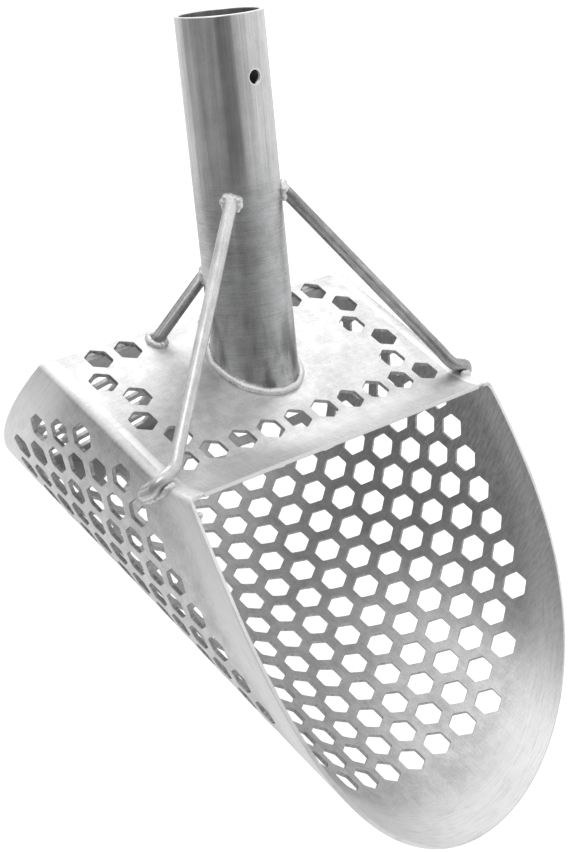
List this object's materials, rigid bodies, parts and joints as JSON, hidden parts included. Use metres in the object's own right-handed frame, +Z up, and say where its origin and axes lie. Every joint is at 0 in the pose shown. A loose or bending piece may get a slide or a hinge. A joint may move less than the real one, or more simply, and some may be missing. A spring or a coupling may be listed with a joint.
{
  "type": "sand scoop",
  "caption": "Long-handle beach sand scoop: perforated stainless basket with raked tubular handle socket and welded rod struts.",
  "frame": {"origin": "middle of the footprint, level with the underside of the keel", "axes": "+Z up, along the normal of the flat top plate; -Y out of the mouth; +X across, to the right seen from behind the mouth with the plate up"},
  "size_m": [0.2062, 0.2998, 0.2747],
  "materials": {
    "sheet": "satin stainless sheet",
    "tube": "brushed stainless tube",
    "rod": "drawn stainless rod",
    "weld": "uneven bright weld metal"
  },
  "bodies": {
    "root": {"trough_shell": "sheet", "top_plate": "sheet", "rear_plate": "sheet", "handle_socket": "tube", "socket_base_weld": "weld", "rear_rim_weld": "weld", "side_seam_weld_left": "weld", "front_strut_left": "rod", "rear_strut_left": "rod", "front_strut_top_weld_left": "weld", "rear_strut_top_weld_left": "weld", "front_strut_foot_weld_left": "weld", "rear_strut_foot_weld_left": "weld", "side_seam_weld_right": "weld", "front_strut_right": "rod", "rear_strut_right": "rod", "front_strut_top_weld_right": "weld", "rear_strut_top_weld_right": "weld", "front_strut_foot_weld_right": "weld", "rear_strut_foot_weld_right": "weld"}
  },
  "joints": []
}
